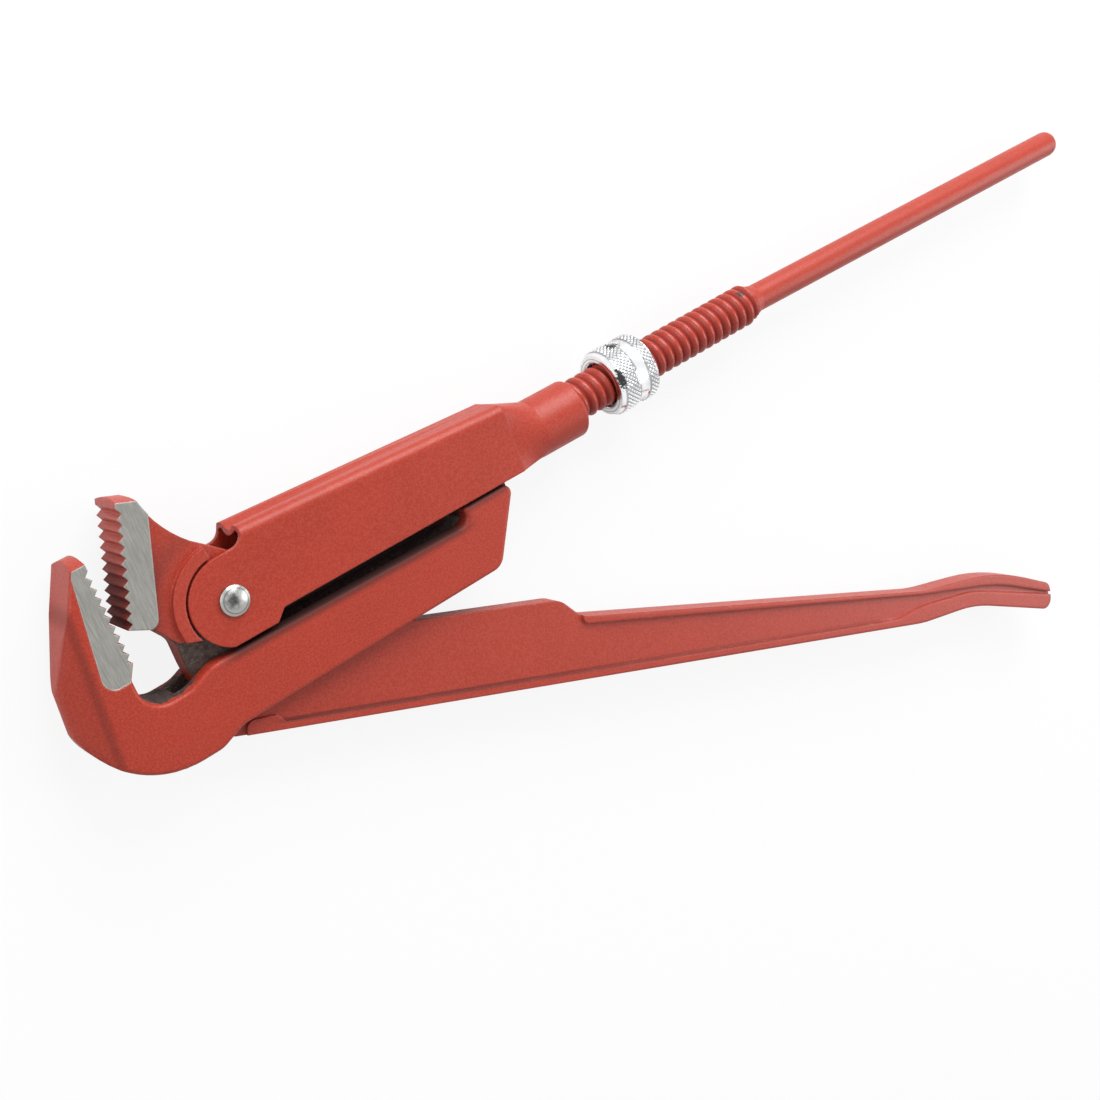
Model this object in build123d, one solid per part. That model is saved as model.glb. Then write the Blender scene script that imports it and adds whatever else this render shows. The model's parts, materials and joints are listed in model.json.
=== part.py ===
"""Adjustable pipe wrench of the Swedish pattern, jaws square to the spindle, 1 1/2 inch size.

A forked hook leg carries a threaded spindle that runs on as a round handle. A pressed sleeve slides
on the spindle, and the second leg passes through the fork and turns on a rivet in the sleeve's ears.
A nut on the spindle sets how far back the sleeve can go, and so how wide the jaws open.

Millimetres. X runs along the spindle towards the handles, Y towards the sleeve's roof, and Z is up,
with the wrench lying on its side. All pieces are drawn about the spindle axis, with X counted from the
pivot, and are moved at the end so that the wrench lies on Z = 0 under the middle of its outline.
"""
import math
import os

from build123d import *

# Hook leg: jaw
TOOTH_DEPTH = 1.5
HOOK_PROUD = 0.2
HOOK_TOOTH_X = -32.5
HOOK_TEETH = 10
HOOK_TOOTH_PITCH = 2.85
HOOK_TIP_TOP = 31.4
HOOK_TIP_CROWN = 1.8
HOOK_TIP_MARGIN = 3.5
HOOK_TIP_LENGTH = 3.4
HOOK_TIP_ROUND = 1.3
HEEL_LEFT = -55.0
HEEL_BOTTOM = -35.5
HEEL_RADIUS = 28.3
HEEL_FLAT = 6.2
HEEL_STEP = 8.0
HEEL_BACK_LENGTH = 4.4
HEEL_BACK_ROUND = 12.0
HOOK_BACK_BEVEL = 10.5
HOOK_BACK_ROUND = 5.0
HOOK_BACK_NOSE = 3.5
HOOK_BACK_LEAN = 6.5
THROAT_RADIUS = 7.2
THROAT_UNDERCUT = 2.5
THROAT_LIP = 4.0
THROAT_DEPTH = 14.8
THROAT_LENGTH = 13.0
HOOK_PAD_TOP = 4.4
HOOK_PAD_FOOT = 10.7
HOOK_PAD_DROP = 4.4
HOOK_PAD_SINK = 0.4
HOOK_PAD_ROUND = 4.0
FORGING_ROUND = 1.3

# Hook leg: fork and root block
FORK_BOTTOM = -32.5
FORK_TOP_FRONT = -12.3
FORK_TOP_REAR = -14.7
FORK_TOP_START = -13.5
FORK_TOP_BLEND = 10.0
LUG_FRONT = 76.8
LUG_LENGTH = 19.5
LUG_TOP = -9.9
LUG_CORNER = 2.4
LUG_INNER_ROUND = 3.0
LUG_SLANT = 14.5
LUG_FOOT_ROUND = 5.5
SLOT_FRONT = -25.3
SLOT_CEILING = -12.8
ROOT_OVERHANG = 2.0
ROOT_NOSE_ROUND = 6.0

# Hook leg: spindle and round handle
THREAD_DIAMETER = 14.0
THREAD_DEPTH = 1.3
THREAD_LENGTH = 98.1
THREAD_RUN_OUT = 3.0
HANDLE_DIAMETER = 9.5
HANDLE_LENGTH = 163.7
HANDLE_DROOP = 1.25
HANDLE_END_ROUND = 3.8

# Sleeve, drawn level and then sagging on the spindle by its slack
SLEEVE_WIDTH = 17.6
SLEEVE_WALL = 1.6
SLEEVE_SAG = 0.65
SLEEVE_SKIRT = -8.0
ROOF_START = 9.6
ROOF_FRONT_TOP = 19.0
ROOF_REAR_TOP = 14.15
ROOF_ROUND = 3.0
ROOF_GROOVE_RADIUS = 6.0
ROOF_GROOVE_DEPTH = 1.6
ROOF_GROOVE_RUN_OUT = 0.2
NOTCH_ROUND = 4.0
EAR_RADIUS = 13.25
EAR_FOOT = -11.2
EAR_FOOT_REAR = 9.2
EAR_STEP = 3.4
NECK_LENGTH = 11.9
NECK_FLOOR_ROUND = 0.4
COLLAR_LENGTH = 16.6
COLLAR_WALL = 1.0
COLLAR_ROUND = 0.9
NECK_SIDE_ARC = 60.0

# Moving leg, drawn about the pivot with the jaws parallel
OPENING_ANGLE = 20.0
JAW_SINK = 0.5
JAW_GAP = 1.9
JAW_TEETH = 11
JAW_TOOTH_PITCH = 3.0
JAW_TOP = 32.0
JAW_CROWN = 1.2
JAW_TOP_MARGIN = 2.6
JAW_TIP_LENGTH = 5.2
JAW_PAD_LENGTH = 8.8
JAW_PAD_ROUND = 3.0
JAW_NECK_SINK = 1.2
JAW_BACK = (-17.9, 20.6)
JAW_BACK_ROUND = 33.0
JAW_UNDERSIDE = -9.8
RING_LENGTH = 3.5
NECK_END_ANGLE = 115.0
NECK_FRONT = (-16.3, -10.2)
NECK_WAIST = (-13.4, -18.8)
TONGUE_RADIUS = 13.0
WEB_THICKNESS = 7.0
WEB_TOP_FRONT = -14.5
HUMP = (112.0, -18.5)
HUMP_FOOT = (120.0, -25.1)
HUMP_ROUND = 8.0
FOOT = (-2.5, -40.0)
GRIP_DIP_TOP = (277.0, -41.2)
GRIP_DIP_BOTTOM = (276.0, -53.3)
GRIP_CREST_TOP = (317.0, -39.5)
GRIP_CREST_BOTTOM = (304.0, -50.9)
TIP_TOP = (348.0, -49.0)
TIP_BOTTOM = (349.5, -60.0)
TIP_ROUND = 4.0
GRIP_BEND = 60.0
GRIP_CREST_BEND = 100.0
RIM_WIDTH = 9.2
RIM_HEIGHT = 2.6
RIM_UPPER_HEIGHT = 2.4
RIM_UPPER_GRIP_HEIGHT = 3.9
RIM_GRIP_HEIGHT = 6.6
RIM_NUB_START = 2.0
RIM_NUB_LENGTH = 9.5
RIM_NUB_HEIGHT = 4.0

# Nut and rivet
PIVOT_RISE = 1.0
NUT_DIAMETER = 23.0
NUT_LENGTH = 16.2
NUT_GAP = 13.6
NUT_CHAMFER = 1.0
NUT_WAIST_DEPTH = 0.6
NUT_WAIST_LENGTH = 2.6
NUT_REAR_BAND = 3.6
NUT_COUNTERBORE = 3.0
RIVET_DIAMETER = 7.0
RIVET_HEAD_DIAMETER = 9.0
RIVET_HEAD_RIM = 0.8
RIVET_HEAD_HEIGHT = 2.2

# Clearances
RUNNING_CLEARANCE = 0.05
SLIDING_CLEARANCE = 0.3
SLOT_CLEARANCE = 0.35
RING_GAP = 0.85
THREAD_CLEARANCE = 0.1
SLEEVE_END_GAP = 3.0

# Small breaks of sharp corners
EDGE_BREAK = 1.0
CORNER_ROUND = 1.5

THREAD_CORE = THREAD_DIAMETER - 2 * THREAD_DEPTH
HOOK_WIDTH = SLEEVE_WIDTH + 2 * HOOK_PROUD
JAW_WIDTH = SLEEVE_WIDTH - 2 * JAW_SINK
SLEEVE_INSIDE = SLEEVE_WIDTH - 2 * SLEEVE_WALL
TONGUE_WIDTH = SLEEVE_INSIDE - 2 * SLIDING_CLEARANCE
SLOT_WIDTH = WEB_THICKNESS + 2 * SLOT_CLEARANCE
RING_INSIDE = EAR_RADIUS + RING_GAP
LUG_REAR = LUG_FRONT + LUG_LENGTH
ROOT_REAR = LUG_REAR + ROOT_OVERHANG
ROOF_END = ROOT_REAR + SLEEVE_END_GAP
COLLAR_START = ROOF_END + NECK_LENGTH
COLLAR_END = COLLAR_START + COLLAR_LENGTH
COLLAR_DROP = COLLAR_END * math.sin(math.radians(SLEEVE_SAG))
COLLAR_BORE = THREAD_DIAMETER + 2 * (COLLAR_DROP + THREAD_CLEARANCE)
COLLAR_DIAMETER = COLLAR_BORE + 2 * COLLAR_WALL
THREAD_START = COLLAR_START
THREAD_END = THREAD_START + THREAD_LENGTH
HANDLE_START = THREAD_END + THREAD_RUN_OUT
JAW_TOOTH_X = HOOK_TOOTH_X + JAW_GAP


def outline(*corners):
    """Face from corners given as (x, y) or (x, y, corner radius)."""
    points = [corner[:2] for corner in corners]
    radii = [corner[2] if len(corner) == 3 else 0 for corner in corners]
    return make_face(FilletPolyline(*points, radius=radii, close=True))


def slab(face, thickness):
    """Plate of the face's outline, half of its thickness to each side of the middle plane."""
    return extrude(face, amount=thickness / 2, both=True)


def side_edges(body, thickness):
    """Edges round the outline of a plate, on both of its sides."""
    return [edge for edge in body.edges() if math.isclose(abs(edge.center().Z), thickness / 2)]


def tooth_cut(tip_x, top, count, pitch, depth):
    """Comb that cuts a row of teeth from its top down; depth is towards the jaw's body."""
    corners = [(tip_x - depth, top), (tip_x, top)]
    for index in range(count):
        corners.append((tip_x + depth, top - (index + 0.5) * pitch))
        corners.append((tip_x, top - (index + 1) * pitch))
    corners.append((tip_x - depth, top - count * pitch))
    return slab(outline(*corners), 2 * SLEEVE_WIDTH)


def crowned_bar(top, crown, width, length):
    """Bar along X under a jaw's tip, whose upper face is an arc across the jaw's width."""
    half = width / 2
    plane = Plane(origin=(0, 0, 0), x_dir=(0, 0, -1), z_dir=(1, 0, 0))
    section = make_face(
        ThreePointArc((-half, top - crown), (0, top), (half, top - crown))
        + Polyline((half, top - crown), (half, -length), (-half, -length), (-half, top - crown))
    )
    return extrude(plane * section, amount=length, both=True)


def round_bar(diameter, start, length):
    """Cylinder along X from a starting point on the spindle axis."""
    plane = Plane(origin=(start, 0, 0), z_dir=(1, 0, 0))
    return extrude(plane * Circle(diameter / 2), amount=length)


def make_hook_leg():
    """Toothed hook, fork, root block, spindle core and round handle, forged as one."""
    throat_left = HOOK_TOOTH_X - THROAT_UNDERCUT
    teeth_top = HOOK_TIP_TOP - HOOK_TIP_MARGIN
    teeth_bottom = teeth_top - HOOK_TEETH * HOOK_TOOTH_PITCH
    throat_floor = teeth_bottom - THROAT_DEPTH
    heel_end = HEEL_LEFT + HEEL_RADIUS + HEEL_FLAT
    side = outline(
        (HOOK_TOOTH_X - HOOK_TIP_LENGTH, HOOK_TIP_TOP, HOOK_TIP_ROUND),
        (HOOK_TOOTH_X, HOOK_TIP_TOP),
        (HOOK_TOOTH_X, teeth_bottom),
        (throat_left, teeth_bottom - THROAT_LIP, CORNER_ROUND),
        (throat_left, throat_floor, THROAT_RADIUS),
        (throat_left + THROAT_LENGTH, throat_floor, FORK_TOP_BLEND),
        (FORK_TOP_START, FORK_TOP_FRONT, FORK_TOP_BLEND),
        (LUG_FRONT, FORK_TOP_REAR, LUG_INNER_ROUND),
        (LUG_FRONT, LUG_TOP, EDGE_BREAK),
        (LUG_REAR, LUG_TOP, LUG_CORNER),
        (LUG_REAR - LUG_SLANT, FORK_BOTTOM, LUG_FOOT_ROUND),
        (heel_end + HEEL_STEP, FORK_BOTTOM, HEEL_STEP),
        (heel_end, HEEL_BOTTOM, HEEL_STEP),
        (HEEL_LEFT, HEEL_BOTTOM, HEEL_RADIUS),
        (HEEL_LEFT, HEEL_BOTTOM + HEEL_RADIUS + HEEL_BACK_LENGTH, HEEL_BACK_ROUND),
    )
    forging = slab(side, HOOK_WIDTH)
    rounded = [
        edge for edge in side_edges(forging, HOOK_WIDTH)
        if edge.center().X > throat_left and not math.isclose(edge.center().X, HOOK_TOOTH_X)
    ]
    forging = fillet(rounded, FORGING_ROUND) - hook_waste()
    forging &= crowned_bar(HOOK_TIP_TOP, HOOK_TIP_CROWN, HOOK_WIDTH, 2 * LUG_REAR)
    ground = slab(hook_pad(teeth_bottom), 2 * HOOK_WIDTH)
    forging -= ground - slab(hook_pad(teeth_bottom), HOOK_WIDTH - 2 * HOOK_PAD_SINK)
    forging -= tooth_cut(HOOK_TOOTH_X, teeth_top, HOOK_TEETH, HOOK_TOOTH_PITCH, -TOOTH_DEPTH)

    slot = outline(
        (SLOT_FRONT, HEEL_BOTTOM - HEEL_RADIUS),
        (ROOT_REAR, HEEL_BOTTOM - HEEL_RADIUS),
        (ROOT_REAR, SLOT_CEILING),
        (LUG_FRONT - HOOK_WIDTH, SLOT_CEILING),
        (LUG_FRONT - HOOK_WIDTH, 0),
        (SLOT_FRONT, 0),
    )
    forging -= slab(slot, SLOT_WIDTH)

    root_half = TONGUE_WIDTH / 2
    root = outline(
        (LUG_FRONT + EDGE_BREAK, SLOT_CEILING),
        (LUG_FRONT + EDGE_BREAK, root_half, ROOT_NOSE_ROUND),
        (ROOT_REAR, root_half),
        (ROOT_REAR, 0),
        (LUG_REAR - LUG_CORNER, LUG_TOP),
        (LUG_REAR - LUG_CORNER, SLOT_CEILING),
    )
    forging += slab(root, TONGUE_WIDTH)
    forging += round_bar(TONGUE_WIDTH, LUG_REAR - root_half, THREAD_START - LUG_REAR + root_half)
    forging += round_bar(THREAD_CORE, THREAD_START, THREAD_LENGTH)

    run_out = outline(
        (THREAD_END, 0),
        (THREAD_END, THREAD_CORE / 2),
        (HANDLE_START, HANDLE_DIAMETER / 2),
        (HANDLE_START, 0),
    )
    forging += revolve(run_out, Axis.X)

    handle = round_bar(HANDLE_DIAMETER, -THREAD_RUN_OUT, HANDLE_LENGTH + THREAD_RUN_OUT)
    handle = fillet(handle.faces().sort_by(Axis.X)[-1].edges(), HANDLE_END_ROUND)
    forging += Pos(HANDLE_START, 0, 0) * Rot(0, 0, -HANDLE_DROOP) * handle
    return forging


def hook_pad(teeth_bottom):
    """Ground side of the hook's jaw, wider at its foot, reaching past the tip and the teeth."""
    above = 2 * HOOK_TIP_TOP
    top_left = HOOK_TOOTH_X - HOOK_PAD_TOP
    foot_left = HOOK_TOOTH_X - HOOK_PAD_FOOT
    foot = teeth_bottom - HOOK_PAD_DROP
    lean = (top_left - foot_left) / (HOOK_TIP_TOP - foot)
    return outline(
        (top_left + lean * (above - HOOK_TIP_TOP), above),
        (foot_left, foot, HOOK_PAD_ROUND),
        (HOOK_TOOTH_X, foot, HOOK_PAD_ROUND),
        (HOOK_TOOTH_X, teeth_bottom),
        (HOOK_TOOTH_X + TOOTH_DEPTH, teeth_bottom),
        (above, above),
    )


def hook_waste():
    """What is taken off the hook's back for its two-sided bevel, which leans with the back."""
    half = HOOK_WIDTH / 2
    far = LUG_REAR - HEEL_LEFT
    back = outline(
        (HOOK_BACK_BEVEL, -half, EDGE_BREAK),
        (-HOOK_BACK_NOSE, 0, HOOK_BACK_ROUND),
        (HOOK_BACK_BEVEL, half, EDGE_BREAK),
        (2 * far, half),
        (2 * far, -half),
    )
    around = Pos(HOOK_BACK_BEVEL + EDGE_BREAK - far, 0) * Rectangle(2 * far, 2 * HOOK_WIDTH)
    waste = extrude(Plane.XZ * (around - back), amount=far, both=True)
    return Pos(HEEL_LEFT, HEEL_BOTTOM + HEEL_RADIUS, 0) * Rot(0, 0, -HOOK_BACK_LEAN) * waste


def make_moving_leg():
    """Jaw, tongue, web and rimmed handle, drawn with the jaws parallel and then opened."""
    body = leg_jaw() + leg_handle()
    body -= slab(Circle(RIVET_DIAMETER / 2 + RUNNING_CLEARANCE), SLEEVE_WIDTH)
    return Pos(0, PIVOT_RISE, 0) * Rot(0, 0, -OPENING_ANGLE) * body


def leg_jaw():
    """Toothed jaw with ground sides, the shoulder ring round the ears and the tongue between them."""
    teeth_top = JAW_TOP - JAW_TOP_MARGIN
    teeth_bottom = teeth_top - JAW_TEETH * JAW_TOOTH_PITCH
    pad_back = JAW_TOOTH_X + JAW_PAD_LENGTH
    jaw = outline(
        (JAW_TOOTH_X, JAW_TOP, EDGE_BREAK),
        (JAW_TOOTH_X, teeth_bottom),
        (pad_back - TOOTH_DEPTH, teeth_bottom - EDGE_BREAK, TIP_ROUND),
        (NECK_FRONT[0], JAW_UNDERSIDE, CORNER_ROUND),
        (NECK_FRONT[0] / 2, JAW_UNDERSIDE),
        (0, 0),
        (0, RING_INSIDE),
        (*JAW_BACK, JAW_BACK_ROUND),
        (JAW_TOOTH_X + JAW_TIP_LENGTH, JAW_TOP, CORNER_ROUND),
    )
    neck_end = 2 * JAW_TOP * Vector(1, 0).rotate(Axis.Z, NECK_END_ANGLE)
    tongue_zone = outline(
        (0, 0),
        (neck_end.X, neck_end.Y),
        (2 * JAW_TOP, 2 * JAW_TOP),
        (2 * JAW_TOP, -2 * JAW_TOP),
        (0, -2 * JAW_TOP),
    )
    full_width = jaw - tongue_zone
    pad_zone = outline(
        (JAW_TOOTH_X - JAW_TOP, 2 * JAW_TOP),
        (pad_back, 2 * JAW_TOP),
        (pad_back, teeth_bottom - EDGE_BREAK, JAW_PAD_ROUND),
        (JAW_TOOTH_X - JAW_TOP, teeth_bottom - EDGE_BREAK),
    )
    ring_zone = Circle(RING_INSIDE + RING_LENGTH)
    body = slab(jaw, TONGUE_WIDTH)
    body += slab(full_width, JAW_WIDTH - 2 * JAW_NECK_SINK)
    body += slab(full_width & pad_zone, JAW_WIDTH)
    body &= crowned_bar(JAW_TOP, JAW_CROWN, SLEEVE_WIDTH, 2 * JAW_TOP)
    body -= tooth_cut(JAW_TOOTH_X, teeth_top, JAW_TEETH, JAW_TOOTH_PITCH, TOOTH_DEPTH)
    body += slab(full_width & ring_zone, SLEEVE_WIDTH)
    for side in (1, -1):
        plane = Plane(origin=(0, 0, side * TONGUE_WIDTH / 2), z_dir=(0, 0, side))
        body -= extrude(plane * Circle(RING_INSIDE), amount=SLEEVE_WIDTH)
    return body + slab(Circle(TONGUE_RADIUS), TONGUE_WIDTH)


def leg_handle():
    """Flat web from the jaw through the fork, and the handle with a rim along each edge."""
    leg = outline(
        (JAW_TOOTH_X + JAW_PAD_LENGTH, NECK_FRONT[1] / 2),
        (*NECK_FRONT, TIP_ROUND),
        (*NECK_WAIST, JAW_BACK_ROUND),
        (*FOOT, RIM_HEIGHT),
        (*GRIP_DIP_BOTTOM, GRIP_BEND),
        (*GRIP_CREST_BOTTOM, GRIP_BEND),
        (*TIP_BOTTOM, TIP_ROUND),
        (*TIP_TOP, TIP_ROUND),
        (*GRIP_CREST_TOP, GRIP_CREST_BEND),
        (*GRIP_DIP_TOP, GRIP_BEND),
        (*HUMP_FOOT, HUMP_ROUND),
        (*HUMP, HUMP_ROUND),
        (TONGUE_RADIUS, WEB_TOP_FRONT, TIP_ROUND),
        (TONGUE_RADIUS - TIP_ROUND, 0),
        (0, 0),
    )
    below = 2 * TIP_BOTTOM[1]
    beyond = TIP_TOP[0] + RIM_WIDTH
    nub_end = RIM_NUB_START + RIM_NUB_LENGTH
    tip_slope = (TIP_BOTTOM[1] - GRIP_CREST_BOTTOM[1]) / (TIP_BOTTOM[0] - GRIP_CREST_BOTTOM[0])
    groove_floor = TIP_BOTTOM[1] + RIM_GRIP_HEIGHT + tip_slope * RIM_WIDTH
    groove_top = TIP_TOP[1] - RIM_UPPER_GRIP_HEIGHT + tip_slope * RIM_WIDTH
    rims = outline(
        (RIM_NUB_START, below),
        (RIM_NUB_START, FOOT[1] + RIM_NUB_HEIGHT, RIM_HEIGHT),
        (nub_end, FOOT[1] + RIM_NUB_HEIGHT, EDGE_BREAK),
        (nub_end + RIM_HEIGHT, FOOT[1] + RIM_HEIGHT - EDGE_BREAK, EDGE_BREAK),
        (GRIP_DIP_BOTTOM[0] - 2 * RIM_GRIP_HEIGHT, GRIP_DIP_BOTTOM[1] + RIM_HEIGHT + EDGE_BREAK, RIM_WIDTH),
        (GRIP_DIP_BOTTOM[0], GRIP_DIP_BOTTOM[1] + RIM_GRIP_HEIGHT, RIM_WIDTH),
        (GRIP_CREST_BOTTOM[0], GRIP_CREST_BOTTOM[1] + RIM_GRIP_HEIGHT - EDGE_BREAK, GRIP_BEND),
        (beyond, groove_floor),
        (beyond, groove_top),
        (GRIP_CREST_TOP[0], GRIP_CREST_TOP[1] - RIM_UPPER_GRIP_HEIGHT - EDGE_BREAK, GRIP_CREST_BEND),
        (GRIP_DIP_TOP[0], GRIP_DIP_TOP[1] - RIM_UPPER_HEIGHT / 2, GRIP_BEND),
        (HUMP_FOOT[0], HUMP_FOOT[1] - RIM_UPPER_HEIGHT, RIM_UPPER_HEIGHT),
        (HUMP_FOOT[0], 0),
        (2 * beyond, 0),
        (2 * beyond, below),
    )
    return slab(leg, WEB_THICKNESS) + slab(leg & rims, RIM_WIDTH)


def roof_bar(width, corner, drop):
    """Long bar whose top follows the roof at a depth below it, with rounded upper corners."""
    plane = Plane(origin=(ROOF_END, ROOF_REAR_TOP - drop, 0), x_dir=(0, 1, 0), z_dir=(1, 0, 0))
    depth = 4 * EAR_RADIUS
    section = outline(
        (0, -width / 2, corner),
        (0, width / 2, corner),
        (-depth, width / 2),
        (-depth, -width / 2),
    )
    along = Vector(ROOF_START - ROOF_END, ROOF_FRONT_TOP - ROOF_REAR_TOP, 0)
    return extrude(plane * section, amount=ROOF_END + 3 * EAR_RADIUS, dir=along.normalized())


def roof_groove(radius):
    """Rod that presses the lengthwise groove into the roof, deepest in front and gone near the back."""
    front = Vector(ROOF_START, ROOF_FRONT_TOP + ROOF_GROOVE_RADIUS - ROOF_GROOVE_DEPTH, 0)
    rear = Vector(ROOF_END, ROOF_REAR_TOP + ROOF_GROOVE_RADIUS + ROOF_GROOVE_RUN_OUT, 0)
    along = (rear - front).normalized()
    plane = Plane(origin=front - along * EAR_RADIUS, z_dir=along)
    return extrude(plane * Circle(radius), amount=(rear - front).length + EAR_RADIUS)


def neck_shape(floor, roof, width, corner, diameter):
    """Loft from the sleeve's boxed section to its round collar, in matching lines and arcs."""
    start_plane = Plane(origin=(ROOF_END, 0, 0), x_dir=(0, 1, 0), z_dir=(1, 0, 0))
    end_plane = Plane(origin=(COLLAR_START, 0, 0), x_dir=(0, 1, 0), z_dir=(1, 0, 0))
    half = width / 2
    box = outline(
        (floor, -half, NECK_FLOOR_ROUND),
        (roof, -half, corner),
        (roof, half, corner),
        (floor, half, NECK_FLOOR_ROUND),
    )
    arcs = []
    for quarter in range(4):
        side = 90 * quarter
        arcs.append(CenterArc((0, 0), diameter / 2, side - NECK_SIDE_ARC / 2, NECK_SIDE_ARC))
        arcs.append(CenterArc((0, 0), diameter / 2, side + NECK_SIDE_ARC / 2, 90 - NECK_SIDE_ARC))
    return loft([start_plane * box, end_plane * make_face(Curve() + arcs)])


def make_sleeve():
    """Pressed sleeve: open channel with a grooved roof, ears at the front and a collar behind."""
    above = ROOF_FRONT_TOP + EAR_RADIUS
    ear_top = PIVOT_RISE + EAR_RADIUS
    foot_half_chord = math.sqrt(EAR_RADIUS ** 2 - (EAR_FOOT - PIVOT_RISE) ** 2)
    wall = outline(
        (ROOF_START, above),
        (ROOF_START, ear_top, NOTCH_ROUND),
        (0, ear_top),
        (0, 0),
        (-foot_half_chord, EAR_FOOT),
        (EAR_FOOT_REAR, EAR_FOOT, EDGE_BREAK),
        (EAR_FOOT_REAR + EAR_STEP, SLEEVE_SKIRT, EDGE_BREAK),
        (ROOF_END, SLEEVE_SKIRT),
        (ROOF_END, above),
    )
    behind = Pos(2 * EAR_RADIUS, 0) * Rectangle(4 * EAR_RADIUS, 4 * EAR_RADIUS)
    ear = Pos(0, PIVOT_RISE) * Circle(EAR_RADIUS) - behind
    toe = Pos(0, EAR_FOOT - EAR_RADIUS) * Rectangle(2 * foot_half_chord, 2 * EAR_RADIUS)
    outer = slab(wall + (ear - toe), SLEEVE_WIDTH)
    outer = (outer & roof_bar(SLEEVE_WIDTH, ROOF_ROUND, 0)) - roof_groove(ROOF_GROOVE_RADIUS)

    inside = outline(
        (-3 * EAR_RADIUS, above),
        (-3 * EAR_RADIUS, -3 * EAR_RADIUS),
        (ROOF_END, -3 * EAR_RADIUS),
        (ROOF_END, above),
    )
    cavity = slab(inside, SLEEVE_INSIDE) & roof_bar(SLEEVE_INSIDE, ROOF_ROUND - SLEEVE_WALL, SLEEVE_WALL)
    cavity -= roof_groove(ROOF_GROOVE_RADIUS + SLEEVE_WALL)

    neck = neck_shape(SLEEVE_SKIRT, ROOF_REAR_TOP, SLEEVE_WIDTH, ROOF_ROUND, COLLAR_DIAMETER)
    throat = neck_shape(SLEEVE_SKIRT + COLLAR_WALL, ROOF_REAR_TOP - SLEEVE_WALL, SLEEVE_INSIDE,
                        ROOF_ROUND - SLEEVE_WALL, COLLAR_BORE)
    collar = round_bar(COLLAR_DIAMETER, COLLAR_START, COLLAR_LENGTH)
    collar = fillet(collar.faces().sort_by(Axis.X)[-1].edges(), COLLAR_ROUND)
    sleeve = outer + neck + collar
    sleeve -= cavity + throat + round_bar(COLLAR_BORE, COLLAR_START, 2 * COLLAR_LENGTH)
    rivet_hole = slab(Circle(RIVET_DIAMETER / 2 + RUNNING_CLEARANCE), 2 * SLEEVE_WIDTH)
    sleeve -= Pos(0, PIVOT_RISE, 0) * rivet_hole
    pivot = Location((0, PIVOT_RISE, 0))
    return pivot * Rot(0, 0, -SLEEVE_SAG) * pivot.inverse() * sleeve


def make_adjusting_nut():
    """Round nut with two grip bands, a smooth waist between them and a counterbore in front."""
    radius = NUT_DIAMETER / 2
    bore = THREAD_CORE / 2 + RUNNING_CLEARANCE
    counterbore = THREAD_DIAMETER / 2 + THREAD_CLEARANCE + EDGE_BREAK / 2
    front = COLLAR_END + NUT_GAP
    rear = front + NUT_LENGTH
    waist_rear = rear - NUT_REAR_BAND
    waist_front = waist_rear - NUT_WAIST_LENGTH
    half_section = outline(
        (front, counterbore),
        (front, radius - NUT_CHAMFER),
        (front + NUT_CHAMFER, radius),
        (waist_front, radius),
        (waist_front + NUT_WAIST_DEPTH, radius - NUT_WAIST_DEPTH),
        (waist_rear - NUT_WAIST_DEPTH, radius - NUT_WAIST_DEPTH),
        (waist_rear, radius),
        (rear - NUT_CHAMFER, radius),
        (rear, radius - NUT_CHAMFER),
        (rear, bore),
        (front + NUT_COUNTERBORE, bore),
        (front + NUT_COUNTERBORE, counterbore),
    )
    return revolve(half_section, Axis.X)


def make_pivot_rivet():
    """Solid rivet through the ears and the tongue, with a low domed head on each side."""
    shank = RIVET_DIAMETER / 2
    head = RIVET_HEAD_DIAMETER / 2
    seat = SLEEVE_WIDTH / 2
    rim = seat + RIVET_HEAD_RIM
    crown = seat + RIVET_HEAD_HEIGHT
    dome_height = crown - rim
    dome_radius = (head ** 2 + dome_height ** 2) / (2 * dome_height)
    half_angle = math.asin(head / dome_radius) / 2
    dome = (dome_radius * math.sin(half_angle), crown - dome_radius * (1 - math.cos(half_angle)))
    half_section = make_face(
        Polyline((0, crown), (0, -crown))
        + ThreePointArc((0, -crown), (dome[0], -dome[1]), (head, -rim))
        + Polyline((head, -rim), (head, -seat), (shank, -seat), (shank, seat), (head, seat), (head, rim))
        + ThreePointArc((head, rim), dome, (0, crown))
    )
    return Pos(0, PIVOT_RISE, 0) * revolve(Plane.XZ * half_section, Axis.Z)


PARTS = {
    "hook_leg": make_hook_leg(),
    "moving_leg": make_moving_leg(),
    "sleeve": make_sleeve(),
    "adjusting_nut": make_adjusting_nut(),
    "pivot_rivet": make_pivot_rivet(),
}

whole = PARTS["hook_leg"].bounding_box()
for shape in PARTS.values():
    whole = whole.add(shape.bounding_box())
middle = whole.center()
bench = Location((-middle.X, -middle.Y, -whole.min.Z))

os.makedirs("parts", exist_ok=True)
for name, shape in PARTS.items():
    export_step(bench * shape, f"parts/{name}.step")
print("bench shift", bench.position)
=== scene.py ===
"""Looks of the pipe wrench: red paint, ground jaw sides, coarse spindle thread and knurled nut.

Laid out as an add-on and run as a script. Lengths are in metres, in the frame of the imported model. Only the
places in the shading are in millimetres: X from the pivot, Y from the spindle's axis, Z from the middle.
"""
import json
import math

import bpy
from bpy.props import FloatProperty, FloatVectorProperty, IntProperty, PointerProperty
from mathutils import Matrix, Vector

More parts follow.
